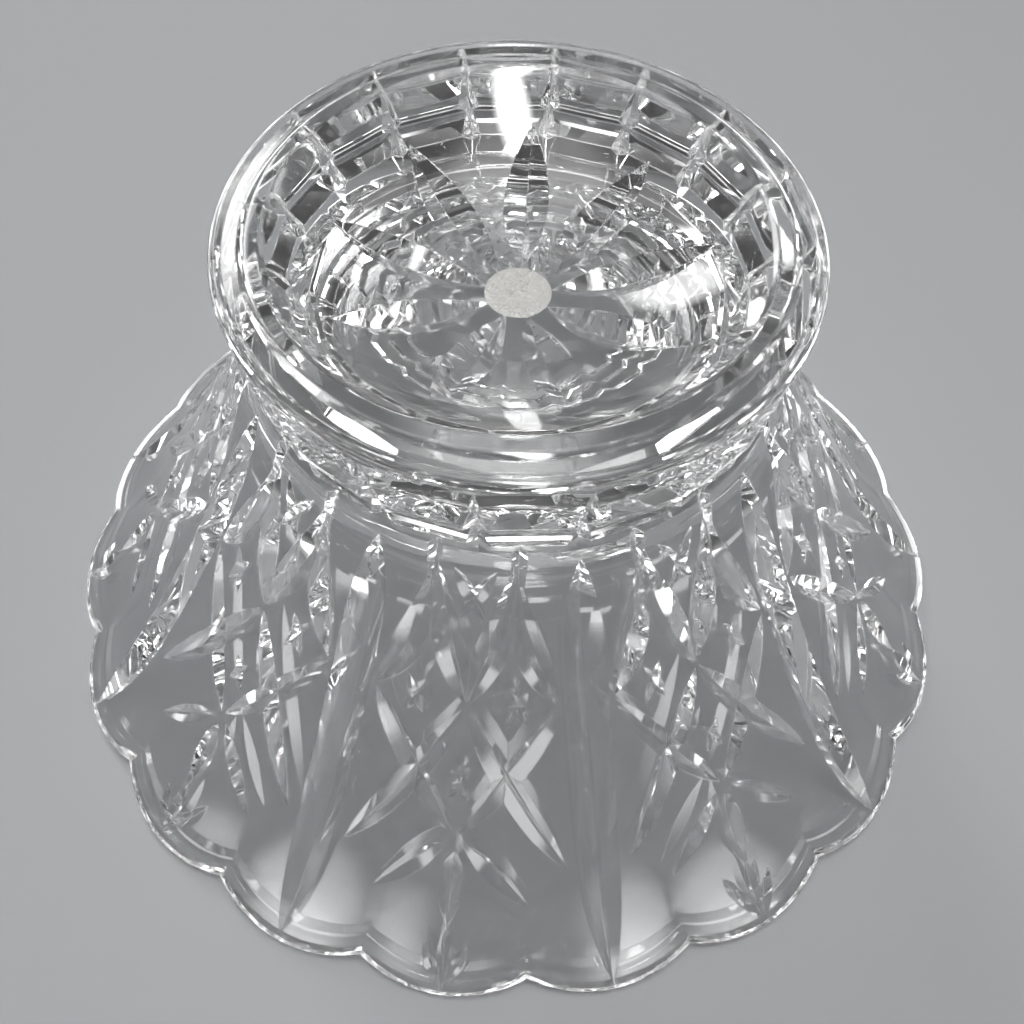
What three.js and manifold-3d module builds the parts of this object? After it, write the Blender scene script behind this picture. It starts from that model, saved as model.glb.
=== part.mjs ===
import * as THREE from 'three';
import { mergeVertices } from 'three/addons/utils/BufferGeometryUtils.js';
import Module from 'manifold-3d';

// Footed crystal bowl, turned over so that it stands on its scalloped rim.
// Millimetres, +Z up, axis of the bowl on Z, a lance cut facing -Y.

// Repeats round the axis.
const REPEATS = 9;
const LOBES = 2 * REPEATS;
const ROUND_STEPS = 4 * LOBES;

// Bowl: the wall runs from the rim on the table up to the shoulder.
const RIM_RADIUS = 106.2;
const SHOULDER_RADIUS = 53.4;
const SHOULDER_Z = 94.4;
const SHOULDER_ROUND = 0.8;
const WALL_HOLLOW = 3.4;
const WALL_THICKNESS = 6.5;
const RIM_ROUND = 2.6;
const BASE_RADIUS = 37;
const BASE_Z = 94.8;
const FLOOR_Z = 85;
const FLOOR_CORNER_Z = 75.5;

// Scallops of the rim.
const LOBE_OUT = 4.2;
const LOBE_REACH = 30;
const NOTCH_RISE = 3;

// Wafer: the stepped disc of glass between bowl and foot.
const WAFER_STEPS = 3;
const WAFER_STEP_RISE = 1.2;
const WAFER_STEP_RUN = 4;
const WAFER_BASE_FLAT = 25;
const WAFER_TOP_Z = BASE_Z + WAFER_STEPS * WAFER_STEP_RISE;

// Foot: three tiers of flat panels under a beaded edge, hollowed below to take the wafer.
const FOOT_Z = 95.6;
const HOLLOW_FLAT = 44;
const HOLLOW_RUN = 2;
const TIER_FLATS = [53.2, 55.3, 56.6];
const TIER_TOPS = [103.2, 111.6, 119];
const TIER_BATTER = 0.7;
const EDGE_RADIUS = 57.6;
const EDGE_BEAD = 1.6;
const EDGE_Z = 119.8;
const HEIGHT = 122;
const LIP_RADIUS = 49.4;
const LIP_FLAT = 2;
const LIP_ROUND = 1.1;
const MITRE_TOP_RADIUS = 56.4;
const MITRE_FOOT_RADIUS = 51;
const MITRE_SPREAD = 1.6;

// Dish in the foot, with its star.
const DISH_Z = 105;
const DISH_LIP_RADIUS = 47.6;
const STAR_TURN = 3.5;
const PETAL_START = 5.6;
const PETAL_END = 38.5;
const PETAL_DEPTH = 2.7;
const PETAL_SPREAD = 1.6;

// Cuts of the bowl wall. Angles are degrees from the sprig axis, heights are above the table.
const LANCE_DEPTH = 3.6;
const LANCE_SPREAD = 1.3;
const LANCE_TOP_Z = 93;
const LANCE_TIP_Z = 1;
const LANCE_POWER = 5;
const STEM_TURN = 8.2;
const STEM_Z = 97;
const STEM_TOP_Z = 110;
const STEM_FOOT_Z = 80;
const STEM_DEPTH = 1.3;
const HEART_Z = 61.5;
const SIDE_TURN = 15.7;
const ARM_Z = 25;
const DIAMOND_Z = 32.5;
const FAN_TURN = 0.8;
const FAN_Z = 32;
const FAN_TIP_TURN = 10.2;
const FAN_TIP_Z = 18;
const RAY_TIP_Z = 2;
const LEAF_DEPTH = 2.9;
const ARM_DEPTH = 2.3;
const FAN_DEPTH = 1.9;
const LEAF_SPREAD = 1.15;

// Leaves are deepest at this share of their length, and curl from the stem by these powers of it.
const LEAF_PEAK = 0.7;
const OUTER_CURL = 2.6;
const INNER_CURL = 1.4;

// Cutters stand proud of the surface they cut by this much.
const PROUD = 2.5;
const RUN_OUT = 0.4;

// Facets flatter than this are joined after cutting.
const FACET_TOLERANCE = 0.05;

const wasm = await Module();
wasm.setup();

const rad = THREE.MathUtils.degToRad;
const lerp = THREE.MathUtils.lerp;
const LOBE_ANGLE = 360 / LOBES;
const FLAT_TO_CORNER = 1 / Math.cos(rad(LOBE_ANGLE / 2));

// A point at a bearing measured from -Y towards +X.
function polar(radius, degrees, z) {
  const a = rad(degrees);
  return new THREE.Vector3(radius * Math.sin(a), -radius * Math.cos(a), z);
}

// Outside radius of the wall at a height, hollowed a little between rim and shoulder.
function wallRadius(z) {
  const t = z / SHOULDER_Z;
  return lerp(RIM_RADIUS, SHOULDER_RADIUS, t) - 4 * WALL_HOLLOW * t * (1 - t);
}

// One at the middle of a lobe, zero in the notches.
function lobeShape(degrees) {
  const turns = degrees / LOBE_ANGLE;
  const u = 2 * (turns - Math.round(turns));
  return 1 - u * u;
}

// How strongly the lobes show at a height: fully at the rim, not at all above their reach.
function lobeFade(z) {
  const t = Math.min(Math.max(1 - z / LOBE_REACH, 0), 1.1);
  return t * t;
}

function solid(geometry) {
  const plain = geometry.index ? geometry.toNonIndexed() : geometry;
  plain.deleteAttribute('normal');
  plain.deleteAttribute('uv');
  const merged = mergeVertices(plain, 1e-4);
  const mesh = new wasm.Mesh({
    numProp: 3,
    vertProperties: new Float32Array(merged.attributes.position.array),
    triVerts: new Uint32Array(merged.index.array),
  });
  mesh.merge();
  return new wasm.Manifold(mesh);
}

function lathe(profile, steps) {
  const points = profile.map(([r, z]) => new THREE.Vector2(r, z));
  return new THREE.LatheGeometry(points, steps).rotateX(Math.PI / 2);
}

// A lathe with flat panels: radii are given to the flats.
function panelled(profile) {
  return lathe(profile.map(([r, z]) => [r * FLAT_TO_CORNER, z]), LOBES);
}

function curvePoints(start, control, end, count) {
  const curve = new THREE.QuadraticBezierCurve(
    new THREE.Vector2(...start),
    new THREE.Vector2(...control),
    new THREE.Vector2(...end),
  );
  return curve.getPoints(count).map((p) => [p.x, p.y]);
}

// A bar of V section along rows of [edge, floor line, other edge].
function vBar(rows) {
  const corners = [];
  const face = (a, b, c) => corners.push(a, b, c);
  for (let i = 0; i + 1 < rows.length; i += 1) {
    for (let k = 0; k < 3; k += 1) {
      const m = (k + 1) % 3;
      face(rows[i][k], rows[i + 1][k], rows[i + 1][m]);
      face(rows[i][k], rows[i + 1][m], rows[i][m]);
    }
  }
  const last = rows.length - 1;
  face(rows[0][0], rows[0][1], rows[0][2]);
  face(rows[last][0], rows[last][2], rows[last][1]);
  return new THREE.BufferGeometry().setFromPoints(corners);
}

// Boat-shaped V cut between two places on a surface, running out at both ends.
// It is deepest at the peak share of its length, and a higher power keeps its sides parallel for longer.
function boatCut(surface, cut) {
  const { from, to, depth, spread, steps, peak = 0.5, power = 2, curl = 1 } = cut;
  const rows = [];
  const place = (t) => surface(lerp(from[0], to[0], Math.max(t, 0) ** curl), lerp(from[1], to[1], t));
  for (let i = 0; i <= steps; i += 1) {
    const t = i / steps;
    const { point, normal } = place(t);
    const along = place(t + 0.01).point.sub(place(t - 0.01).point);
    const side = along.cross(normal).normalize();
    const share = t ** (Math.log(0.5) / Math.log(peak));
    const sink = depth - (depth + RUN_OUT) * Math.abs(2 * share - 1) ** power;
    const reach = (sink + PROUD) * spread;
    const top = point.clone().addScaledVector(normal, PROUD);
    rows.push([
      top.clone().addScaledVector(side, -reach),
      point.clone().addScaledVector(normal, -sink),
      top.clone().addScaledVector(side, reach),
    ]);
  }
  return solid(vBar(rows));
}

// Place on the wall: bearing and height, lobes included.
function wallPoint(degrees, z) {
  return polar(wallRadius(z) + LOBE_OUT * lobeShape(degrees) * lobeFade(z), degrees, z);
}

function wallSurface(degrees, z) {
  const point = wallPoint(degrees, z);
  const up = wallPoint(degrees, z + 0.5).sub(wallPoint(degrees, z - 0.5));
  const round = polar(1, degrees + 90, 0);
  const normal = round.cross(up).normalize();
  return { point, normal };
}

const DISH_DEPTH = HEIGHT - DISH_Z;
const DISH_SPHERE = (DISH_LIP_RADIUS ** 2 + DISH_DEPTH ** 2) / (2 * DISH_DEPTH);

// Place in the dish: bearing and radius, the normal facing the air.
function dishSurface(degrees, r) {
  const z = DISH_Z + DISH_SPHERE - Math.sqrt(DISH_SPHERE ** 2 - r ** 2);
  const point = polar(r, degrees, z);
  const normal = new THREE.Vector3(0, 0, DISH_Z + DISH_SPHERE).sub(point).normalize();
  return { point, normal };
}

function bowlBody() {
  const outerHeights = [70, 53, 36, 22, 11];
  const innerHeights = [4, 11, 22, 36, 55];
  const shoulder = [SHOULDER_RADIUS, SHOULDER_Z];
  const profile = [
    [0, BASE_Z],
    ...curvePoints([BASE_RADIUS, BASE_Z], [SHOULDER_RADIUS - SHOULDER_ROUND, BASE_Z], shoulder, 4),
    ...outerHeights.map((z) => [wallRadius(z), z]),
    [wallRadius(RIM_ROUND), RIM_ROUND],
    [wallRadius(0) - 1, 0.6],
    [wallRadius(0) - WALL_THICKNESS / 2, 0],
    [wallRadius(0) - WALL_THICKNESS + 0.8, 0.7],
    ...innerHeights.map((z) => [wallRadius(z) - WALL_THICKNESS, z]),
    ...curvePoints(
      [wallRadius(FLOOR_CORNER_Z) - WALL_THICKNESS, FLOOR_CORNER_Z],
      [wallRadius(FLOOR_Z) - WALL_THICKNESS, FLOOR_Z],
      [BASE_RADIUS - 12, FLOOR_Z],
      4,
    ),
    [0, FLOOR_Z],
  ].reverse();
  const geometry = lathe(profile, ROUND_STEPS);
  const spot = geometry.attributes.position;
  for (let i = 0; i < spot.count; i += 1) {
    const [x, y, z] = [spot.getX(i), spot.getY(i), spot.getZ(i)];
    const degrees = THREE.MathUtils.radToDeg(Math.atan2(x, -y));
    const radius = Math.hypot(x, y);
    const fade = lobeFade(z);
    const lobe = lobeShape(degrees);
    const moved = polar(radius + LOBE_OUT * lobe * fade, degrees, z + NOTCH_RISE * (1 - lobe) * fade);
    spot.setXYZ(i, moved.x, moved.y, moved.z);
  }
  return solid(geometry);
}

// Cuts on one side of the sprig axis; the other side mirrors them.
const LEAF = { depth: LEAF_DEPTH, peak: LEAF_PEAK, steps: 6 };
const ARM = { depth: ARM_DEPTH, steps: 4 };
const FAN = { depth: FAN_DEPTH, steps: 4 };
const HALF_SPRIG = [
  { from: [STEM_TURN, STEM_TOP_Z], to: [STEM_TURN, STEM_FOOT_Z], depth: STEM_DEPTH, steps: 4 },
  { from: [STEM_TURN, STEM_Z], to: [SIDE_TURN, HEART_Z], curl: OUTER_CURL, ...LEAF },
  { from: [STEM_TURN, STEM_Z], to: [0, HEART_Z], curl: INNER_CURL, ...LEAF },
  { from: [0, HEART_Z], to: [SIDE_TURN, ARM_Z], ...ARM },
  { from: [SIDE_TURN, HEART_Z], to: [0, DIAMOND_Z], ...ARM },
  { from: [FAN_TURN, FAN_Z], to: [FAN_TIP_TURN, FAN_TIP_Z], ...FAN },
];
const RAY = { from: [0, FAN_Z], to: [0, RAY_TIP_Z], ...FAN };
const LANCE = {
  from: [0, LANCE_TOP_Z],
  to: [0, LANCE_TIP_Z],
  depth: LANCE_DEPTH,
  spread: LANCE_SPREAD,
  power: LANCE_POWER,
  steps: 10,
};

// A cut turned to a bearing, on one side of it or the other.
function turned(cut, bearing, side) {
  const from = [bearing + side * cut.from[0], cut.from[1]];
  const to = [bearing + side * cut.to[0], cut.to[1]];
  return boatCut(wallSurface, { spread: LEAF_SPREAD, ...cut, from, to });
}

function wallCuts() {
  const cuts = [];
  for (let i = 0; i < REPEATS; i += 1) {
    const lance = i * 2 * LOBE_ANGLE;
    const sprig = lance + LOBE_ANGLE;
    cuts.push(turned(LANCE, lance, 1));
    cuts.push(turned(RAY, sprig, 1));
    for (const side of [-1, 1]) {
      cuts.push(...HALF_SPRIG.map((cut) => turned(cut, sprig, side)));
    }
  }
  return cuts;
}

function bowl() {
  return bowlBody()
    .subtract(wasm.Manifold.union(wallCuts()))
    .simplify(FACET_TOLERANCE);
}

function wafer() {
  const profile = [[0, BASE_Z]];
  for (let i = 0; i < WAFER_STEPS; i += 1) {
    const flat = WAFER_BASE_FLAT + i * WAFER_STEP_RUN;
    profile.push([flat, BASE_Z + i * WAFER_STEP_RISE]);
    profile.push([flat + WAFER_STEP_RISE, BASE_Z + (i + 1) * WAFER_STEP_RISE]);
  }
  profile.push([0, WAFER_TOP_Z]);
  return solid(panelled(profile));
}

// The tiers of flat panels, mitred at every corner.
function footTiers() {
  const profile = [
    [0, WAFER_TOP_Z],
    [HOLLOW_FLAT, WAFER_TOP_Z],
    [HOLLOW_FLAT + HOLLOW_RUN, FOOT_Z],
  ];
  TIER_FLATS.forEach((flat, i) => {
    profile.push([flat - TIER_BATTER, i ? TIER_TOPS[i - 1] : FOOT_Z]);
    profile.push([flat, TIER_TOPS[i]]);
  });
  profile.push([0, TIER_TOPS[TIER_TOPS.length - 1]]);
  const tiers = solid(panelled(profile));
  const mitres = [];
  const ends = [
    [MITRE_FOOT_RADIUS, FOOT_Z - 1],
    [MITRE_TOP_RADIUS, TIER_TOPS[TIER_TOPS.length - 1] + 1],
  ];
  for (let i = 0; i < LOBES; i += 1) {
    const degrees = i * LOBE_ANGLE;
    const side = polar(1, degrees + 90, 0);
    const rows = ends.map(([r, z]) => {
      const reach = (EDGE_RADIUS + PROUD - r) * MITRE_SPREAD;
      const top = polar(EDGE_RADIUS + PROUD, degrees, z);
      return [
        top.clone().addScaledVector(side, -reach),
        polar(r, degrees, z),
        top.clone().addScaledVector(side, reach),
      ];
    });
    mitres.push(solid(vBar(rows)));
  }
  return tiers.subtract(wasm.Manifold.union(mitres));
}

// The round edge with its bead, and the lip the bowl stands on in use.
function footEdge() {
  const beadCentre = EDGE_RADIUS - EDGE_BEAD;
  const bead = [-70, -20, 30, 80, 130].map((a) => [
    beadCentre + EDGE_BEAD * Math.cos(rad(a)),
    EDGE_Z + EDGE_BEAD * Math.sin(rad(a)),
  ]);
  const lipEdge = LIP_RADIUS + LIP_FLAT / 2;
  return solid(lathe([
    [0, DISH_Z + 1],
    [MITRE_FOOT_RADIUS - 4, DISH_Z + 1],
    ...bead,
    [lipEdge + LIP_ROUND, HEIGHT - LIP_ROUND / 2],
    [lipEdge, HEIGHT],
    [0, HEIGHT],
  ], ROUND_STEPS));
}

function dishAir() {
  const profile = [[0, DISH_Z]];
  for (let i = 1; i <= 9; i += 1) {
    const { point } = dishSurface(0, (DISH_LIP_RADIUS * i) / 9);
    profile.push([-point.y, point.z]);
  }
  profile.push([LIP_RADIUS - LIP_FLAT / 2, HEIGHT + 1]);
  profile.push([0, HEIGHT + 1]);
  return solid(lathe(profile, ROUND_STEPS));
}

function foot() {
  const petals = [];
  for (let i = 0; i < REPEATS; i += 1) {
    const bearing = i * 2 * LOBE_ANGLE + STAR_TURN;
    petals.push(boatCut(dishSurface, {
      from: [bearing, PETAL_START],
      to: [bearing, PETAL_END],
      depth: PETAL_DEPTH,
      spread: PETAL_SPREAD,
      steps: 6,
    }));
  }
  return footTiers()
    .add(footEdge())
    .subtract(dishAir())
    .subtract(wasm.Manifold.union(petals))
    .simplify(FACET_TOLERANCE);
}

const crystal = new THREE.MeshStandardMaterial({ color: 0xe6ecee, roughness: 0.05, metalness: 0 });

function piece(name, body) {
  const { vertProperties, triVerts } = body.getMesh();
  const geometry = new THREE.BufferGeometry();
  geometry.setAttribute('position', new THREE.BufferAttribute(new Float32Array(vertProperties), 3));
  geometry.setIndex(new THREE.BufferAttribute(new Uint32Array(triVerts), 1));
  geometry.computeVertexNormals();
  const mesh = new THREE.Mesh(geometry, crystal);
  mesh.name = name;
  return mesh;
}

const part = new THREE.Group();
part.add(piece('bowl', bowl()));
part.add(piece('wafer', wafer()));
part.add(piece('foot', foot()));

export default part;
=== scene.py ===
"""Footed lead crystal serving bowl, turned over on its scalloped rim, dressed for rendering.

Lengths in the size classes are millimetres and angles are degrees. Bearings are
measured round the axis from -Y towards +X, and heights from the table up. Lamps
and the table are placed in metres.
"""

from __future__ import annotations

import logging
import math
from dataclasses import dataclass, replace
from enum import Enum
from typing import Callable, Sequence

import bpy
import numpy as np
from mathutils import Matrix

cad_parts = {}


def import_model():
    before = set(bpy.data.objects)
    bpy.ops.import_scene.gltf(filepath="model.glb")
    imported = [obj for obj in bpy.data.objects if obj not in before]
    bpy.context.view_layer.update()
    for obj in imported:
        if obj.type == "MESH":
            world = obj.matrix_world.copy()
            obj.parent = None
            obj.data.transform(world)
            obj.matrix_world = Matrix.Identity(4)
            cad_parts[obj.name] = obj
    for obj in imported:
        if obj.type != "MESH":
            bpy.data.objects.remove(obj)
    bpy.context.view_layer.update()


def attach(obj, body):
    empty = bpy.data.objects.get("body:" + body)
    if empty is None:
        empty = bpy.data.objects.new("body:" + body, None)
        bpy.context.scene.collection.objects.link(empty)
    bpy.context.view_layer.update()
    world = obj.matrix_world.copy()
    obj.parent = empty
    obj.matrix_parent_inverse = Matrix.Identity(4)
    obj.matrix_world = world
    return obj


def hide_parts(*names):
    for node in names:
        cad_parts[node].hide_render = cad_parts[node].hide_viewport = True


LOG = logging.getLogger("crystal_bowl")
MM = 0.001
BODY = "root"
LEVEL_COSINE = 0.999
JOINT_SLACK = 0.01

Array = np.ndarray
Surface = Callable[[Array, Array], tuple[Array, Array]]


def polar(radius: Array | float, degrees: Array | float, z: Array | float) -> Array:
    """Points at a bearing from -Y towards +X.

    Args:
        radius: distance from the axis.
        degrees: bearing.
        z: height.

    Returns:
        Array whose last axis holds x, y and z.
    """
    a = np.radians(degrees)
    parts = np.broadcast_arrays(radius * np.sin(a), -radius * np.cos(a), z)
    return np.stack(parts, axis=-1)


def unit(vectors: Array) -> Array:
    """Vectors scaled to length one along the last axis."""
    return vectors / np.linalg.norm(vectors, axis=-1, keepdims=True)


def bezier(
    start: Sequence[float], control: Sequence[float], end: Sequence[float], spans: int
) -> Array:
    """Points of a quadratic curve.

    Args:
        start: first point.
        control: point that pulls the curve.
        end: last point.
        spans: number of spans.

    Returns:
        Array of spans + 1 points.
    """
    t = np.linspace(0.0, 1.0, spans + 1)[:, None]
    first, pull, last = np.array(start), np.array(control), np.array(end)
    return (1 - t) ** 2 * first + 2 * t * (1 - t) * pull + t**2 * last


@dataclass(frozen=True)
class Repeat:
    """What repeats round the axis."""

    lances: int = 9
    columns_per_lobe: int = 20
    notch_depth: float = 2.0
    notch_angle: float = 4.0

    @property
    def lobes(self) -> int:
        """Scallops of the rim and panels of the foot."""
        return 2 * self.lances

    @property
    def lobe_angle(self) -> float:
        """Degrees that one lobe takes."""
        return 360.0 / self.lobes

    @property
    def columns(self) -> int:
        """Columns of a surface grid right round."""
        return self.columns_per_lobe * self.lobes

    def bearings(self) -> Array:
        """Bearing of every grid column."""
        return np.arange(self.columns) * 360.0 / self.columns

    def lance_bearings(self) -> Array:
        """Bearing of every lance."""
        return np.arange(self.lances) * 2 * self.lobe_angle

    def in_lobe(self, degrees: Array) -> Array:
        """Place across a lobe, from -1 in one notch to 1 in the next."""
        turns = degrees / self.lobe_angle
        return 2 * (turns - np.round(turns))

    def flat_radius(self, flat: Array, degrees: Array) -> Array:
        """Radius of a polygon with its corners on the lobe middles.

        Args:
            flat: distance from the axis to the flats.
            degrees: bearings.

        Returns:
            The flat distance over the cosine of the angle from the flat's middle.
        """
        half = self.lobe_angle / 2
        off = np.mod(degrees, self.lobe_angle) - half
        return flat / np.cos(np.radians(off))

    def notched_radius(self, flat: Array, degrees: Array) -> Array:
        """Radius of the same polygon with a V notch at every corner.

        Args:
            flat: distance from the axis to the flats.
            degrees: bearings.

        Returns:
            Radii; the notch is deepest at the corner and runs out on both sides of it.
        """
        half = self.lobe_angle / 2
        from_corner = half - np.abs(np.mod(degrees, self.lobe_angle) - half)
        notch = self.notch_depth * np.clip(1 - from_corner / self.notch_angle, 0.0, 1.0)
        return self.flat_radius(flat, degrees) - notch


REPEAT = Repeat()


class RingGrid:
    """A closed surface round the axis: rows of rings, capped by a pole at each end."""

    def __init__(self, rings: Array, first_pole: float, last_pole: float) -> None:
        """Keeps the rings.

        Args:
            rings: array of rows by columns by three.
            first_pole: height of the axis point before the first ring.
            last_pole: height of the axis point after the last ring.
        """
        self.rings = rings
        self.poles = np.array([[0.0, 0.0, first_pole], [0.0, 0.0, last_pole]])

    def mesh(self, name: str) -> bpy.types.Mesh:
        """Mesh of quads between neighbouring rings and fans at the poles.

        Args:
            name: name of the mesh.

        Returns:
            The new mesh, in metres.
        """
        rows, columns, _ = self.rings.shape
        index = np.arange(rows * columns).reshape(rows, columns)
        nxt = np.roll(index, -1, axis=1)
        quads = np.stack([index[:-1], index[1:], nxt[1:], nxt[:-1]], axis=-1).reshape(-1, 4)
        pole = np.full(columns, rows * columns)
        first = np.stack([pole, index[0], nxt[0]], axis=-1)
        last = np.stack([pole + 1, nxt[-1], index[-1]], axis=-1)
        points = np.concatenate([self.rings.reshape(-1, 3), self.poles]) * MM
        return mesh_of(name, points, [*quads.tolist(), *first.tolist(), *last.tolist()])


def mesh_of(name: str, points: Array, faces: list[list[int]]) -> bpy.types.Mesh:
    """Mesh from points in metres and faces.

    Args:
        name: name of the mesh.
        points: array of points.
        faces: corner numbers of each face.

    Returns:
        The new mesh.
    """
    mesh = bpy.data.meshes.new(name)
    mesh.from_pydata(points.tolist(), [], faces)
    mesh.update()
    return mesh


def bars_mesh(name: str, bars: Sequence[Array]) -> bpy.types.Mesh:
    """Mesh of closed bars of three-cornered section, none touching another.

    Args:
        name: name of the mesh.
        bars: arrays of stations by three corners by three.

    Returns:
        The new mesh, in metres.
    """
    points: list[Array] = []
    faces: list[list[int]] = []
    base = 0
    for bar in bars:
        count = len(bar)
        index = base + np.arange(count * 3).reshape(count, 3)
        for k in range(3):
            m = (k + 1) % 3
            quads = np.stack([index[:-1, k], index[1:, k], index[1:, m], index[:-1, m]], axis=-1)
            faces.extend(quads.tolist())
        faces.append(index[0].tolist())
        faces.append(index[-1, ::-1].tolist())
        points.append(bar.reshape(-1, 3))
        base += count * 3
    return mesh_of(name, np.concatenate(points) * MM, faces)


@dataclass(frozen=True)
class BoatCut:
    """A mitre-wheel cut between two places on a surface: a V that runs out at both ends.

    The floor lies under the surface by depth less a power of the distance from
    the deepest place, which lies at the peak share of the length, and the V
    opens by spread on each side for its depth. The bearing moves over by the
    sweep power of the share of the length, so that a leaf can curl from its stem.
    """

    start: tuple[float, float]
    end: tuple[float, float]
    depth: float
    spread: float
    stations: int = 22
    peak: float = 0.5
    power: float = 2.0
    sweep: float = 1.0
    proud: float = 2.5
    run_out: float = 0.25

    def mirrored(self) -> BoatCut:
        """The same cut on the other side of its axis.

        Returns:
            A copy with both bearings turned round.
        """
        start = (-self.start[0], self.start[1])
        end = (-self.end[0], self.end[1])
        return replace(self, start=start, end=end)

    def bar(self, surface: Surface, turn: float) -> Array:
        """Cutter of the cut.

        Args:
            surface: gives points and normals at bearings and heights.
            turn: degrees added to the bearings.

        Returns:
            Array of stations by three corners by three.
        """
        t = np.linspace(0.0, 1.0, self.stations)
        bearing = turn + self.start[0] + (self.end[0] - self.start[0]) * t**self.sweep
        height = self.start[1] + (self.end[1] - self.start[1]) * t
        point, normal = surface(bearing, height)
        along = unit(np.gradient(point, axis=0))
        side = unit(np.cross(along, normal))
        share = t ** (math.log(0.5) / math.log(self.peak))
        fall = np.abs(2 * share - 1) ** self.power
        sink = self.depth - (self.depth + self.run_out) * fall
        reach = ((sink + self.proud) * self.spread)[:, None]
        top = point + normal * self.proud
        floor = point - normal * sink[:, None]
        return np.stack([top - side * reach, floor, top + side * reach], axis=1)


class Carver:
    """Cuts bars out of a mesh and keeps the edges of the cuts crisp."""

    def __init__(self, crisp_degrees: float = 11.0) -> None:
        """Keeps the angle from which an edge is crisp."""
        self.crisp = math.radians(crisp_degrees)

    def carve(self, piece: bpy.types.Object, bar_sets: Sequence[Sequence[Array]]) -> None:
        """Subtracts every set of bars from a piece.

        Args:
            piece: object whose mesh is cut.
            bar_sets: sets of bars; within a set no bar touches another.
        """
        for bars in bar_sets:
            cutter_mesh = bars_mesh("cutter", bars)
            cutter = bpy.data.objects.new("cutter", cutter_mesh)
            bpy.context.scene.collection.objects.link(cutter)
            modifier = piece.modifiers.new("cut", "BOOLEAN")
            modifier.operation = "DIFFERENCE"
            modifier.object = cutter
            modifier.solver = "MANIFOLD"
            self._apply(piece)
            bpy.data.objects.remove(cutter)
            bpy.data.meshes.remove(cutter_mesh)

    def smooth(self, piece: bpy.types.Object) -> None:
        """Shades a piece smooth except across crisp edges.

        Args:
            piece: object whose mesh is shaded.
        """
        mesh = piece.data
        mesh.polygons.foreach_set("use_smooth", np.ones(len(mesh.polygons), dtype=bool))
        mesh.set_sharp_from_angle(angle=self.crisp)
        mesh.update()

    def _apply(self, piece: bpy.types.Object) -> None:
        """Replaces a piece's mesh by what its modifiers make of it.

        Args:
            piece: object with modifiers, which are taken off.
        """
        graph = bpy.context.evaluated_depsgraph_get()
        made = bpy.data.meshes.new_from_object(piece.evaluated_get(graph))
        old = piece.data
        piece.modifiers.clear()
        made.name = old.name
        piece.data = made
        bpy.data.meshes.remove(old)


def linear(hex_colour: str) -> tuple[float, float, float, float]:
    """Linear colour of an sRGB hex colour.

    Args:
        hex_colour: six hex digits.

    Returns:
        Red, green, blue and alpha.
    """
    values = [int(hex_colour[i : i + 2], 16) / 255 for i in (0, 2, 4)]
    lin = [v / 12.92 if v <= 0.04045 else ((v + 0.055) / 1.055) ** 2.4 for v in values]
    return (lin[0], lin[1], lin[2], 1.0)


class NodeKit:
    """Adds shader nodes to one material, lamp or world."""

    def __init__(self, tree: bpy.types.NodeTree) -> None:
        """Clears the tree and keeps it."""
        self.tree = tree
        tree.nodes.clear()

    def add(
        self,
        kind: str,
        links: dict[str, bpy.types.NodeSocket] | None = None,
        **values: object,
    ) -> bpy.types.Node:
        """Adds a node with settings and links.

        Args:
            kind: node type.
            links: output socket to join to each named input.
            values: node properties, or input values by name with _ for a space.

        Returns:
            The new node.
        """
        node = self.tree.nodes.new(kind)
        for name, value in values.items():
            if name in node.bl_rna.properties:
                setattr(node, name, value)
            else:
                node.inputs[name.replace("_", " ")].default_value = value
        for name, source in (links or {}).items():
            self.tree.links.new(source, node.inputs[name])
        return node


# Pressed, mitre cut and fire polished: the polish gives mirror-sharp, bright
# reflections, the lead bends light strongly so that every cut shows the room
# upside down, and the press leaves waves too shallow to see except as a slight
# unrest in the reflections.
@dataclass(frozen=True)
class LeadCrystal:
    """Clear lead crystal: pressed, mitre cut and fire polished."""

    name: str = "lead_crystal"
    colour: str = "eeeeee"
    ior: float = 1.545
    roughness: tuple[float, float] = (0.0, 0.05)
    bloom_mm: float = 24.0
    bloom_detail: float = 3.0
    bloom_span: tuple[float, float] = (0.45, 0.8)
    wave_mm: float = 9.0
    wave_detail: float = 1.0
    wave_depth: float = 0.02
    wave_rise_mm: float = 1.0
    edge_mm: float = 0.45
    edge_samples: int = 4
    clear: float = 1.0

    def build(self) -> bpy.types.Material:
        """Glass with faint press waves and a barely uneven polish.

        Returns:
            The new material.
        """
        material = bpy.data.materials.new(self.name)
        material.use_nodes = True
        kit = NodeKit(material.node_tree)
        place = kit.add("ShaderNodeTexCoord").outputs["Object"]
        bloom = kit.add(
            "ShaderNodeTexNoise",
            {"Vector": place},
            Scale=1 / (self.bloom_mm * MM),
            Detail=self.bloom_detail,
        )
        polish = kit.add(
            "ShaderNodeMapRange",
            {"Value": bloom.outputs["Fac"]},
            From_Min=self.bloom_span[0],
            From_Max=self.bloom_span[1],
            To_Min=self.roughness[0],
            To_Max=self.roughness[1],
        )
        wave = kit.add(
            "ShaderNodeTexNoise",
            {"Vector": place},
            Scale=1 / (self.wave_mm * MM),
            Detail=self.wave_detail,
        )
        edge = kit.add("ShaderNodeBevel", samples=self.edge_samples, Radius=self.edge_mm * MM)
        bump = kit.add(
            "ShaderNodeBump",
            {"Height": wave.outputs["Fac"], "Normal": edge.outputs["Normal"]},
            Strength=self.wave_depth,
            Distance=self.wave_rise_mm * MM,
        )
        shader = kit.add(
            "ShaderNodeBsdfPrincipled",
            {"Roughness": polish.outputs["Result"], "Normal": bump.outputs["Normal"]},
            Base_Color=linear(self.colour),
            IOR=self.ior,
            Transmission_Weight=self.clear,
        )
        kit.add("ShaderNodeOutputMaterial", {"Surface": shader.outputs["BSDF"]})
        return material


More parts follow.
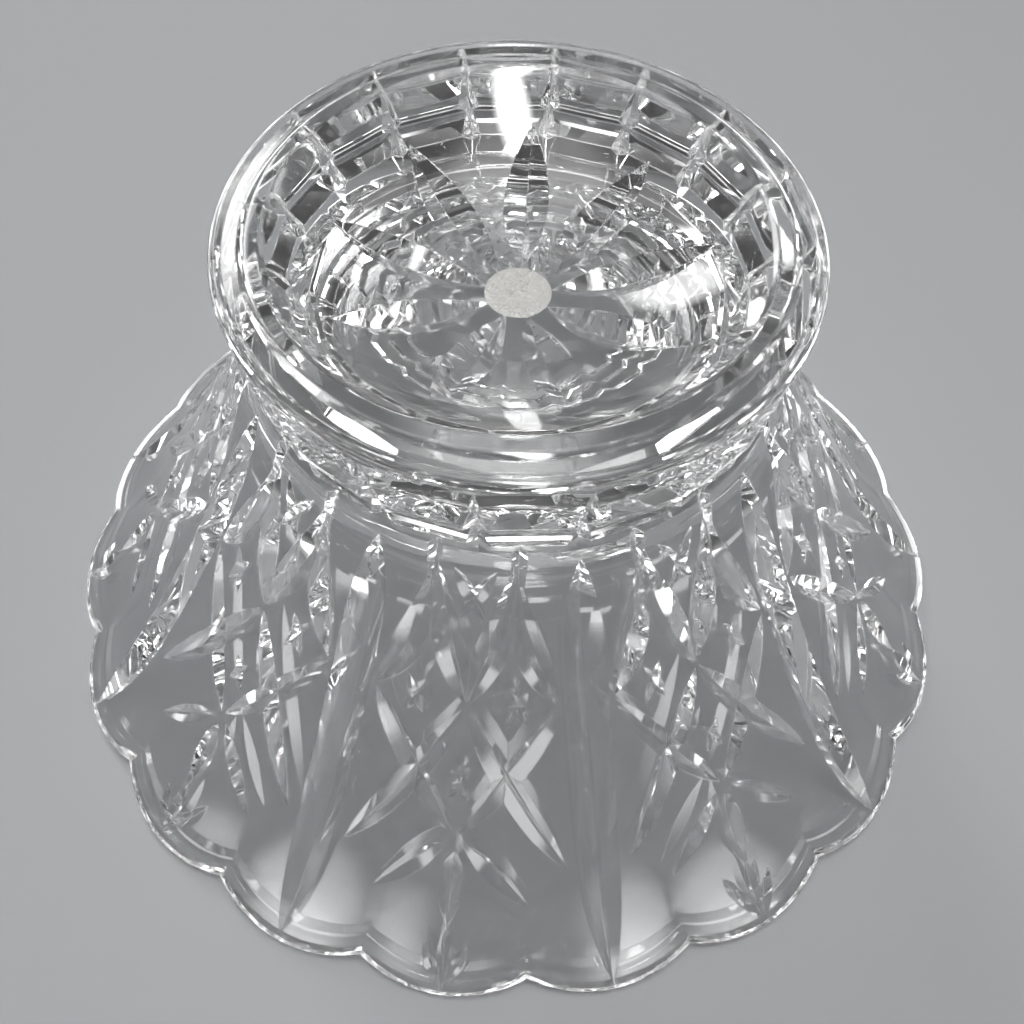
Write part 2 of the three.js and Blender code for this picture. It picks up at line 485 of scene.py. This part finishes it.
# The mould's stipple is left unpolished, so the button scatters light and looks
# like a warm white frost on the clear glass.
@dataclass(frozen=True)
class StippledCrystal(LeadCrystal):
    """The same glass, left matt by a stippled mould."""

    name: str = "stippled_crystal"
    colour: str = "f4f2ec"
    roughness: tuple[float, float] = (0.25, 0.4)
    clear: float = 0.55


@dataclass(frozen=True)
class FusedJoint:
    """Where two gathers of hot glass have run together and no surface is left."""

    name: str = "fused_joint"

    def build(self) -> bpy.types.Material:
        """Lets light straight through.

        Returns:
            The new material.
        """
        material = bpy.data.materials.new(self.name)
        material.use_nodes = True
        kit = NodeKit(material.node_tree)
        clear = kit.add("ShaderNodeBsdfTransparent")
        kit.add("ShaderNodeOutputMaterial", {"Surface": clear.outputs["BSDF"]})
        return material


@dataclass(frozen=True)
class PaleFloor:
    """Matt pale table top."""

    name: str = "pale_table"
    colour: str = "b4b6b8"
    roughness: float = 1.0
    gloss: float = 0.0

    def build(self) -> bpy.types.Material:
        """Plain matt surface with no gloss.

        Returns:
            The new material.
        """
        material = bpy.data.materials.new(self.name)
        material.use_nodes = True
        kit = NodeKit(material.node_tree)
        shader = kit.add(
            "ShaderNodeBsdfPrincipled",
            Base_Color=linear(self.colour),
            Roughness=self.roughness,
            Specular_IOR_Level=self.gloss,
        )
        kit.add("ShaderNodeOutputMaterial", {"Surface": shader.outputs["BSDF"]})
        return material


class Joint(Enum):
    """Heights at which the pieces are fused."""

    BOWL_TO_WAFER = 94.8
    WAFER_TO_FOOT = 98.4


def dress(
    piece: bpy.types.Object,
    finishes: Sequence[bpy.types.Material],
    flats: dict[Joint, float],
) -> None:
    """Gives a piece its glass, and clears the faces that are fused to a neighbour.

    Args:
        piece: object to dress.
        finishes: the glass and the fused joint.
        flats: polygon size of each fused face on this piece.
    """
    mesh = piece.data
    mesh.materials.clear()
    for material in finishes:
        mesh.materials.append(material)
    count = len(mesh.polygons)
    centres = np.empty(count * 3)
    mesh.polygons.foreach_get("center", centres)
    normals = np.empty(count * 3)
    mesh.polygons.foreach_get("normal", normals)
    x, y, z = centres.reshape(-1, 3).T / MM
    level = np.abs(normals.reshape(-1, 3)[:, 2]) > LEVEL_COSINE
    radius = np.hypot(x, y)
    bearing = np.degrees(np.arctan2(x, -y))
    fused = np.zeros(count, dtype=bool)
    for joint, flat in flats.items():
        inside = radius < REPEAT.notched_radius(flat, bearing) + JOINT_SLACK
        fused |= level & inside & (np.abs(z - joint.value) < JOINT_SLACK)
    mesh.polygons.foreach_set("material_index", fused.astype(np.int32))
    mesh.update()


def new_piece(name: str, mesh: bpy.types.Mesh) -> bpy.types.Object:
    """Object at the origin that holds a mesh and is linked to the scene.

    Args:
        name: name of the object.
        mesh: its mesh.

    Returns:
        The new object.
    """
    piece = bpy.data.objects.new(name, mesh)
    bpy.context.scene.collection.objects.link(piece)
    return piece


@dataclass
class Bowl:
    """The flaring body with its scalloped rim and the net of cuts on its wall."""

    rim_radius: float = 106.2
    rim_round: float = 2.6
    shoulder_radius: float = 53.4
    shoulder_z: float = 94.4
    shoulder_pull: float = 0.8
    wall_hollow: float = 3.4
    thickness: float = 6.5
    base_radius: float = 37.0
    floor_z: float = 85.0
    floor_corner_z: float = 75.5
    floor_inset: float = 12.0
    lobe_out: float = 4.2
    lobe_reach: float = 30.0
    lobe_limit: float = 1.1
    notch_rise: float = 3.0
    wafer_flat: float = 25.0
    stem_bearing: float = 8.2
    side_bearing: float = 15.7
    heart_z: float = 61.5
    broad: float = 1.15
    fine: float = 1.1
    long_stations: int = 30
    lance_stations: int = 48
    curve_spans: int = 12
    outer_rows: int = 46
    rim_rows: int = 10
    inner_rows: int = 30
    normal_step: float = 0.5
    name: str = "crystal_bowl"

    def wall_radius(self, z: Array) -> Array:
        """Outside radius: a straight line from rim to shoulder less a parabola.

        Args:
            z: heights.

        Returns:
            Radii, lobes left out.
        """
        t = z / self.shoulder_z
        straight = self.rim_radius + (self.shoulder_radius - self.rim_radius) * t
        return straight - 4 * self.wall_hollow * t * (1 - t)

    def fade(self, z: Array) -> Array:
        """How strongly lobes show: one at the rim, falling as a square to nothing."""
        return np.clip(1 - z / self.lobe_reach, 0.0, self.lobe_limit) ** 2

    def wall_point(self, degrees: Array, z: Array) -> Array:
        """Points of the outside wall, lobes included."""
        lobe = 1 - REPEAT.in_lobe(degrees) ** 2
        return polar(self.wall_radius(z) + self.lobe_out * lobe * self.fade(z), degrees, z)

    def wall(self, degrees: Array, z: Array) -> tuple[Array, Array]:
        """Points and outward normals of the outside wall.

        Args:
            degrees: bearings.
            z: heights.

        Returns:
            Points and normals.
        """
        step = self.normal_step
        up = self.wall_point(degrees, z + step) - self.wall_point(degrees, z - step)
        level = polar(1.0, degrees + 90, 0.0)
        return self.wall_point(degrees, z), unit(np.cross(level, up))

    def section(self) -> Array:
        """Section from the flat on top, down the outside, round the rim and up the inside.

        Returns:
            Rows of radius and height. The shoulder and the inside floor are quadratic
            curves, the rim is half an ellipse, and the inside is the outside less the
            thickness.
        """
        base = Joint.BOWL_TO_WAFER.value
        inner = self.thickness
        shoulder = bezier(
            (self.base_radius, base),
            (self.shoulder_radius - self.shoulder_pull, base),
            (self.shoulder_radius, self.shoulder_z),
            self.curve_spans,
        )
        outer_z = np.linspace(self.shoulder_z, self.rim_round, self.outer_rows)[1:]
        outer = np.stack([self.wall_radius(outer_z), outer_z], axis=-1)
        turn = np.linspace(0.0, math.pi, self.rim_rows)[1:-1]
        rim_r = self.rim_radius - inner / 2 + inner / 2 * np.cos(turn)
        rim = np.stack([rim_r, self.rim_round - self.rim_round * np.sin(turn)], axis=-1)
        inner_z = np.linspace(self.rim_round, self.floor_corner_z, self.inner_rows)[:-1]
        inside = np.stack([self.wall_radius(inner_z) - inner, inner_z], axis=-1)
        corner_r, edge_r = (
            float(self.wall_radius(np.array(z))) - inner
            for z in (self.floor_corner_z, self.floor_z)
        )
        corner = bezier(
            (corner_r, self.floor_corner_z),
            (edge_r, self.floor_z),
            (self.base_radius - self.floor_inset, self.floor_z),
            self.curve_spans,
        )
        return np.concatenate([shoulder, outer, rim, inside, corner])

    def rings(self) -> Array:
        """Section turned round the axis, with the lobes of the rim added.

        Returns:
            Rings; each lobe is a parabola across, out from the axis and down to the table.
        """
        bearing = REPEAT.bearings()
        radius, z = self.section().T
        lobe = 1 - REPEAT.in_lobe(bearing) ** 2
        fade = self.fade(z)[:, None]
        radii = radius[:, None] + self.lobe_out * lobe * fade
        heights = z[:, None] + self.notch_rise * (1 - lobe) * fade
        body = polar(radii, bearing, heights)
        seat_r = REPEAT.notched_radius(self.wafer_flat, bearing)
        seat = polar(seat_r, bearing, Joint.BOWL_TO_WAFER.value)
        return np.concatenate([seat[None], body])

    def sprig(self) -> list[BoatCut]:
        """Cuts on one side of the sprig axis, each from and to a bearing and a height.

        Returns:
            Stem, outer and inner leaf, two crossing arms, fan, X-shaped star and rim leaf.
        """
        stem, side, heart = self.stem_bearing, self.side_bearing, self.heart_z
        broad, fine, many = self.broad, self.fine, self.long_stations
        return [
            BoatCut((stem, 110.0), (stem, 80.0), 1.3, broad, many),
            BoatCut((stem, 97.0), (side, heart), 2.9, broad, many, peak=0.7, sweep=2.6),
            BoatCut((stem, 97.0), (0.0, heart), 2.9, broad, many, peak=0.66, sweep=1.4),
            BoatCut((0.0, heart), (side, 25.0), 2.4, broad, many, power=3.0),
            BoatCut((side, heart), (0.0, 32.5), 2.2, broad, many, power=3.0),
            BoatCut((0.8, 32.0), (10.2, 18.0), 1.9, broad),
            BoatCut((6.5, 66.5), (10.3, 57.5), 1.3, fine),
            BoatCut((10.3, 66.5), (6.5, 57.5), 1.3, fine),
            BoatCut((0.2, 2.0), (2.8, 10.5), 1.4, fine),
        ]

    def sprig_centre(self) -> list[BoatCut]:
        """Cuts on the sprig axis.

        Returns:
            Middle ray of the fan, rim ray, upper X-shaped star and quatrefoil.
        """
        broad, fine = self.broad, self.fine
        return [
            BoatCut((0.0, 31.0), (0.0, 13.0), 2.3, broad),
            BoatCut((0.0, 14.5), (0.0, 1.5), 1.5, fine),
            BoatCut((-4.4, 91.0), (2.8, 79.5), 1.4, fine),
            BoatCut((4.4, 91.0), (-2.8, 79.5), 1.4, fine),
            BoatCut((-1.6, 47.5), (1.6, 40.5), 1.1, fine),
            BoatCut((1.6, 47.5), (-1.6, 40.5), 1.1, fine),
        ]

    def cut_sets(self) -> list[list[Array]]:
        """Cutters of the whole wall.

        Returns:
            Sets of bars whose members don't touch.
        """
        lances = REPEAT.lance_bearings()
        sprigs = lances + REPEAT.lobe_angle
        half = self.sprig()
        cuts = [*half, *(cut.mirrored() for cut in half), *self.sprig_centre()]
        sets = [[cut.bar(self.wall, float(turn)) for turn in sprigs] for cut in cuts]
        lance = BoatCut((0.0, 93.0), (0.0, 1.0), 3.6, 1.3, self.lance_stations, power=5.0)
        sets.append([lance.bar(self.wall, float(turn)) for turn in lances])
        return sets

    def build(self, carver: Carver, finishes: Sequence[bpy.types.Material]) -> bpy.types.Object:
        """Makes, cuts and dresses the bowl.

        Args:
            carver: cuts and shades the mesh.
            finishes: the glass and the fused joint.

        Returns:
            The finished piece.
        """
        grid = RingGrid(self.rings(), Joint.BOWL_TO_WAFER.value, self.floor_z)
        piece = new_piece(self.name, grid.mesh(self.name))
        carver.carve(piece, self.cut_sets())
        carver.smooth(piece)
        dress(piece, finishes, {Joint.BOWL_TO_WAFER: self.wafer_flat})
        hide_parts("bowl")
        return piece


@dataclass
class Wafer:
    """The stepped disc of glass that joins bowl and foot."""

    steps: int = 3
    rise: float = 1.2
    run: float = 4.0
    base_flat: float = 25.0
    name: str = "crystal_wafer"

    def rings(self) -> Array:
        """Steps of a notched polygon, each wider than the one below.

        Returns:
            Rings; every riser leans out by its rise.
        """
        bearing = REPEAT.bearings()
        step = np.repeat(np.arange(self.steps), 2)
        top = np.tile([0, 1], self.steps)
        flat = self.base_flat + step * self.run + top * self.rise
        z = Joint.BOWL_TO_WAFER.value + (step + top) * self.rise
        return polar(REPEAT.notched_radius(flat[:, None], bearing), bearing, z[:, None])

    def build(self, carver: Carver, finishes: Sequence[bpy.types.Material]) -> bpy.types.Object:
        """Makes and dresses the wafer.

        Args:
            carver: shades the mesh.
            finishes: the glass and the fused joint.

        Returns:
            The finished piece.
        """
        low, high = Joint.BOWL_TO_WAFER.value, Joint.WAFER_TO_FOOT.value
        grid = RingGrid(self.rings()[::-1], high, low)
        piece = new_piece(self.name, grid.mesh(self.name))
        carver.smooth(piece)
        top_flat = self.base_flat + (self.steps - 1) * self.run + self.rise
        flats = {Joint.BOWL_TO_WAFER: self.base_flat, Joint.WAFER_TO_FOOT: top_flat}
        dress(piece, finishes, flats)
        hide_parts("wafer")
        return piece


@dataclass
class Foot:
    """The panelled foot with its beaded edge, standing ring, dish and star."""

    wafer_flat: float = 34.2
    hollow_flat: float = 44.0
    hollow_run: float = 2.0
    foot_z: float = 95.6
    tier_flats: tuple[float, ...] = (53.2, 55.3, 56.6)
    tier_tops: tuple[float, ...] = (103.2, 111.6, 118.2)
    batter: float = 0.7
    mitre_floor: tuple[tuple[float, float], ...] = ((51.2, 94.6), (57.2, 117.6), (58.2, 118.9))
    mitre_spread: float = 1.6
    mitre_proud: float = 2.5
    edge_radius: float = 57.6
    edge_z: float = 119.8
    bead: float = 1.6
    bead_turn: tuple[float, float] = (-70.0, 132.0)
    bead_rows: int = 18
    height: float = 122.0
    lip_radius: float = 49.4
    lip_flat: float = 2.0
    lip_run: float = 1.8
    lip_drop: float = 0.75
    lip_pull: float = 0.6
    lip_spans: int = 6
    dish_z: float = 105.0
    dish_lip: float = 47.6
    dish_round: float = 0.8
    dish_pull: float = 0.3
    dish_start: float = 2.0
    dish_rows: int = 30
    star_turn: float = 3.5
    petal_from: float = 5.6
    petal_to: float = 38.5
    petal_depth: float = 2.7
    petal_spread: float = 1.6
    petal_stations: int = 30
    button_radius: float = 6.6
    button_gap: float = 0.3
    button_rise: float = 0.9
    button_rows: int = 30
    button_under: float = 0.5
    stipple_rise: float = 0.22
    stipple_pitch: float = 1.5
    stipple_bend: float = 1.4
    stipple_slow: tuple[float, float] = (0.61, 0.53)
    stipple_shift: float = 1.0
    stipple_edge: float = 4.0
    name: str = "crystal_foot"

    @property
    def dish_sphere(self) -> float:
        """Radius of the ball that the dish is part of."""
        depth = self.height - self.dish_z
        return (self.dish_lip**2 + depth**2) / (2 * depth)

    def dish_height(self, radius: Array) -> Array:
        """Height of the dish, part of a ball, at a distance from the axis."""
        ball = self.dish_sphere
        return self.dish_z + ball - np.sqrt(ball**2 - radius**2)

    def dish(self, degrees: Array, radius: Array) -> tuple[Array, Array]:
        """Points of the dish and normals that face the air.

        Args:
            degrees: bearings.
            radius: distances from the axis.

        Returns:
            Points and normals.
        """
        point = polar(radius, degrees, self.dish_height(radius))
        centre = np.array([0.0, 0.0, self.dish_z + self.dish_sphere])
        return point, unit(centre - point)

    def tiers(self, bearing: Array) -> Array:
        """Rings of the hollow underside and of the tiers of flat panels.

        Args:
            bearing: bearing of every column.

        Returns:
            Rings of polygons; each tier leans out by its batter.
        """
        flats = [self.hollow_flat, self.hollow_flat + self.hollow_run]
        heights = [Joint.WAFER_TO_FOOT.value, self.foot_z]
        for i, flat in enumerate(self.tier_flats):
            flats += [flat - self.batter, flat]
            heights += [self.tier_tops[i - 1] if i else self.foot_z, self.tier_tops[i]]
        radius = REPEAT.flat_radius(np.array(flats)[:, None], bearing)
        return polar(radius, bearing, np.array(heights)[:, None])

    def rounds(self, bearing: Array) -> Array:
        """Rings of the bead, the lip and the dish.

        Args:
            bearing: bearing of every column.

        Returns:
            Circles; the bead is an arc, the lip two quadratic curves, the dish a ball.
        """
        turn = np.radians(np.linspace(*self.bead_turn, self.bead_rows))
        bead_r = self.edge_radius - self.bead + self.bead * np.cos(turn)
        bead_z = self.edge_z + self.bead * np.sin(turn)
        lip_out = self.lip_radius + self.lip_flat / 2
        lip_in = self.lip_radius - self.lip_flat / 2
        lip = bezier(
            (lip_out + self.lip_run, self.height - self.lip_drop),
            (lip_out + self.lip_pull, self.height),
            (lip_out, self.height),
            self.lip_spans,
        )
        inner_r = self.dish_lip - self.dish_round
        inner = bezier(
            (lip_in, self.height),
            (self.dish_lip + self.dish_pull, self.height),
            (inner_r, float(self.dish_height(np.array(inner_r)))),
            self.lip_spans,
        )
        dish_end = self.button_radius + self.button_gap
        dish_r = np.linspace(self.dish_lip - self.dish_start, dish_end, self.dish_rows)
        radius = np.concatenate([bead_r, lip[:, 0], inner[:, 0], dish_r])
        z = np.concatenate([bead_z, lip[:, 1], inner[:, 1], self.dish_height(dish_r)])
        return polar(radius[:, None], bearing, z[:, None])

    def button(self, bearing: Array) -> Array:
        """Rings of the stippled button in the middle of the dish.

        The button is a parabola of the distance from the axis. Its stipple is the
        product of two waves across it, each bent by a slower one, that fades
        towards its edge.

        Args:
            bearing: bearing of every column.

        Returns:
            Rings from the button's edge to its middle.
        """
        radius = np.linspace(self.button_radius, self.button_gap, self.button_rows)[:, None]
        swell = 1 - (radius / self.button_radius) ** 2
        x, y, _ = np.moveaxis(polar(radius, bearing, 0.0), -1, 0)
        wave = 2 * np.pi / self.stipple_pitch
        slow_x, slow_y = self.stipple_slow
        bent_x = wave * x + self.stipple_bend * np.sin(slow_x * wave * y)
        bent_y = wave * y + self.stipple_bend * np.sin(slow_y * wave * x + self.stipple_shift)
        stipple = np.cos(bent_x) * np.cos(bent_y) * np.clip(self.stipple_edge * swell, 0.0, 1.0)
        z = self.dish_height(radius) + self.button_rise * swell + self.stipple_rise * stipple
        return polar(radius, bearing, z)

    def rings(self) -> Array:
        """Seat on the wafer, tiers of panels, round edge, lip, dish and button.

        Returns:
            Rings from the seat round to the middle of the dish.
        """
        bearing = REPEAT.bearings()
        seat_r = REPEAT.notched_radius(self.wafer_flat, bearing)
        seat = polar(seat_r, bearing, Joint.WAFER_TO_FOOT.value)
        rest = (self.tiers(bearing), self.rounds(bearing), self.button(bearing))
        return np.concatenate([seat[None], *rest])

    def cut_sets(self) -> list[list[Array]]:
        """Cutters of the mitres between panels and of the star's petals.

        Returns:
            One set of mitres, then a set for each petal.
        """
        out = self.edge_radius + self.mitre_proud
        floor = np.array(self.mitre_floor)
        reach = ((out - floor[:, 0]) * self.mitre_spread)[:, None]
        mitres = []
        for i in range(REPEAT.lobes):
            bearing = i * REPEAT.lobe_angle
            side = polar(1.0, bearing + 90, 0.0)
            top = polar(out, bearing, floor[:, 1])
            line = polar(floor[:, 0], bearing, floor[:, 1])
            mitres.append(np.stack([top - side * reach, line, top + side * reach], axis=1))
        petal = BoatCut(
            (self.star_turn, self.petal_from),
            (self.star_turn, self.petal_to),
            self.petal_depth,
            self.petal_spread,
            self.petal_stations,
        )
        petals = [[petal.bar(self.dish, float(turn))] for turn in REPEAT.lance_bearings()]
        return [mitres, *petals]

    def build(self, carver: Carver, finishes: Sequence[bpy.types.Material]) -> bpy.types.Object:
        """Makes, cuts and dresses the foot.

        Args:
            carver: cuts and shades the mesh.
            finishes: the glass and the fused joint.

        Returns:
            The finished piece.
        """
        under = Joint.WAFER_TO_FOOT.value
        peak = self.dish_z + self.button_rise + self.stipple_rise
        grid = RingGrid(self.rings()[::-1], peak, under)
        piece = new_piece(self.name, grid.mesh(self.name))
        carver.carve(piece, self.cut_sets())
        carver.smooth(piece)
        dress(piece, finishes, {Joint.WAFER_TO_FOOT: self.wafer_flat})
        self.frost_button(piece)
        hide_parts("foot")
        return piece

    def frost_button(self, piece: bpy.types.Object) -> None:
        """Gives the stippled button its matt finish.

        Args:
            piece: the finished foot.
        """
        mesh = piece.data
        mesh.materials.append(StippledCrystal().build())
        frosted = len(mesh.materials) - 1
        for face in mesh.polygons:
            x, y, z = face.center / MM
            if z > self.dish_z - self.button_under and math.hypot(x, y) < self.button_radius:
                face.material_index = frosted


@dataclass(frozen=True)
class SoftLamp:
    """An oblong studio lamp with a diffuser that is brightest in its middle."""

    name: str
    place: tuple[float, float, float]
    width: float
    height: float
    watts: float
    only_in_glass: bool = False
    aim: tuple[float, float, float] = (0.0, 0.0, 0.06)
    soft_edge: float = 0.5
    middle_gain: float = 2.0
    side_nudge: float = 1e-6

    def diffuser(self, tree: bpy.types.NodeTree) -> None:
        """Lets the light fall off smoothly from the lamp's middle to its edge.

        Args:
            tree: nodes of the lamp.
        """
        kit = NodeKit(tree)
        across = kit.add("ShaderNodeNewGeometry").outputs["Parametric"]
        centred = kit.add(
            "ShaderNodeMapping", {"Vector": across}, Location=(-1, -1, 0), Scale=(2, 2, 0)
        )
        fall = kit.add(
            "ShaderNodeTexGradient",
            {"Vector": centred.outputs["Vector"]},
            gradient_type="SPHERICAL",
        )
        soft = kit.add(
            "ShaderNodeMapRange",
            {"Value": fall.outputs["Fac"]},
            interpolation_type="SMOOTHSTEP",
            From_Max=self.soft_edge,
            To_Max=self.middle_gain,
        )
        glow = kit.add("ShaderNodeEmission", {"Strength": soft.outputs["Result"]})
        kit.add("ShaderNodeOutputLight", {"Surface": glow.outputs["Emission"]})

    def build(self) -> bpy.types.Object:
        """Lamp aimed at the middle of the bowl.

        Returns:
            The new lamp.
        """
        data = bpy.data.lights.new(self.name, "AREA")
        data.shape = "RECTANGLE"
        data.size = self.width
        data.size_y = self.height
        data.energy = self.watts
        data.use_nodes = True
        self.diffuser(data.node_tree)
        lamp = bpy.data.objects.new(self.name, data)
        lamp.visible_diffuse = not self.only_in_glass
        eye = np.array(self.place)
        back = unit(eye - np.array(self.aim))
        nudge = np.array([self.side_nudge, 0.0, 0.0])
        right = unit(np.cross([0.0, 0.0, 1.0], back) + nudge)
        up = np.cross(back, right)
        basis = np.eye(4)
        basis[:3] = np.stack([right, up, back, eye], axis=1)
        lamp.matrix_world = Matrix(basis.tolist())
        bpy.context.scene.collection.objects.link(lamp)
        return lamp


# The low lamps stand round the bowl and show only in the glass, where the cuts
# catch them; the window, the overhead strip and the fill light the table too.
LAMPS = (
    SoftLamp("window", (-0.3, 1.1, 0.9), 0.4, 0.7, 5.0),
    SoftLamp("right_front", (0.353, -0.485, 0.105), 1.0, 0.2, 2.1, only_in_glass=True),
    SoftLamp("left_front", (-0.538, -0.265, 0.105), 1.0, 0.2, 2.1, only_in_glass=True),
    SoftLamp("right_back", (0.617, 0.331, 0.105), 0.9, 0.2, 2.7, only_in_glass=True),
    SoftLamp("left_back", (-0.393, 0.579, 0.105), 0.9, 0.2, 2.7, only_in_glass=True),
    SoftLamp("overhead", (0.0, -0.25, 1.25), 0.22, 0.8, 7.0),
    SoftLamp("fill", (0.0, 0.2, 1.5), 1.2, 1.2, 7.0),
)


@dataclass
class Studio:
    """Pale table, soft lamps and the camera of the photograph."""

    floor_half: float = 0.9
    floor_drop: float = 0.0001
    world_colour: str = "ffffff"
    horizon_strength: float = 0.42
    zenith_strength: float = 0.08
    dusk_rise: float = 0.5
    lens_pixels: float = 1271.0
    image_pixels: float = 1024.0
    sensor_mm: float = 36.0
    near_clip: float = 0.01
    pitch: float = 56.6
    yaw: float = 0.13
    roll: float = 2.09
    eye_out: float = 172.9
    eye_z: float = 289.4
    eye_bearing: float = -13.82
    glass_bounces: int = 32
    glossy_bounces: int = 16
    lamps: tuple[SoftLamp, ...] = LAMPS

    def floor(self) -> bpy.types.Object:
        """Table top under the rim.

        Returns:
            The new object.
        """
        h = self.floor_half
        points = np.array([[-h, -h, 0.0], [h, -h, 0.0], [h, h, 0.0], [-h, h, 0.0]])
        points[:, 2] = -self.floor_drop
        piece = new_piece("table_top", mesh_of("table_top", points, [[0, 1, 2, 3]]))
        piece.data.materials.append(PaleFloor().build())
        return piece

    def world(self) -> None:
        """Pale surroundings that darken from the horizon upwards."""
        world = bpy.data.worlds.new("studio")
        world.use_nodes = True
        kit = NodeKit(world.node_tree)
        look = kit.add("ShaderNodeTexCoord").outputs["Generated"]
        rise = kit.add("ShaderNodeSeparateXYZ", {"Vector": look}).outputs["Z"]
        dusk = kit.add(
            "ShaderNodeMapRange",
            {"Value": rise},
            interpolation_type="SMOOTHSTEP",
            From_Max=self.dusk_rise,
            To_Min=self.horizon_strength,
            To_Max=self.zenith_strength,
        )
        sky = kit.add(
            "ShaderNodeBackground",
            {"Strength": dusk.outputs["Result"]},
            Color=linear(self.world_colour),
        )
        kit.add("ShaderNodeOutputWorld", {"Surface": sky.outputs["Background"]})
        bpy.context.scene.world = world

    def camera(self) -> bpy.types.Object:
        """Camera worked out from the photograph's foot, rim and star.

        Returns:
            The new camera.
        """
        pitch, yaw, roll = (math.radians(v) for v in (self.pitch, self.yaw, self.roll))
        ahead = math.cos(pitch)
        forward = np.array([math.sin(yaw) * ahead, math.cos(yaw) * ahead, -math.sin(pitch)])
        level = np.array([math.cos(yaw), -math.sin(yaw), 0.0])
        upright = np.cross(level, forward)
        right = math.cos(roll) * level + math.sin(roll) * upright
        up = math.cos(roll) * upright - math.sin(roll) * level
        eye = np.array([0.0, -self.eye_out, self.eye_z]) * MM
        basis = np.eye(4)
        basis[:3] = np.stack([right, up, -forward, eye], axis=1)
        turn = Matrix.Rotation(math.radians(self.eye_bearing), 4, "Z")
        data = bpy.data.cameras.new("photo_camera")
        data.sensor_width = self.sensor_mm
        data.lens = data.sensor_width * self.lens_pixels / self.image_pixels
        data.clip_start = self.near_clip
        camera = bpy.data.objects.new("photo_camera", data)
        camera.matrix_world = turn @ Matrix(basis.tolist())
        bpy.context.scene.collection.objects.link(camera)
        bpy.context.scene.camera = camera
        return camera

    def build(self) -> None:
        """Sets the stage."""
        scene = bpy.context.scene
        scene.view_settings.view_transform = "Standard"
        scene.cycles.max_bounces = self.glass_bounces
        scene.cycles.transmission_bounces = self.glass_bounces
        scene.cycles.glossy_bounces = self.glossy_bounces
        scene.cycles.transparent_max_bounces = self.glass_bounces
        self.floor()
        self.world()
        for lamp in self.lamps:
            lamp.build()
        self.camera()


def main() -> None:
    """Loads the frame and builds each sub-assembly."""
    logging.basicConfig(level=logging.INFO, format="%(message)s")
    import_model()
    Studio().build()
    finishes = [LeadCrystal().build(), FusedJoint().build()]
    carver = Carver()
    for assembly in (Bowl(), Wafer(), Foot()):
        piece = assembly.build(carver, finishes)
        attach(piece, BODY)
        LOG.info("%s: %d faces", piece.name, len(piece.data.polygons))


if __name__ == "__main__":
    main()
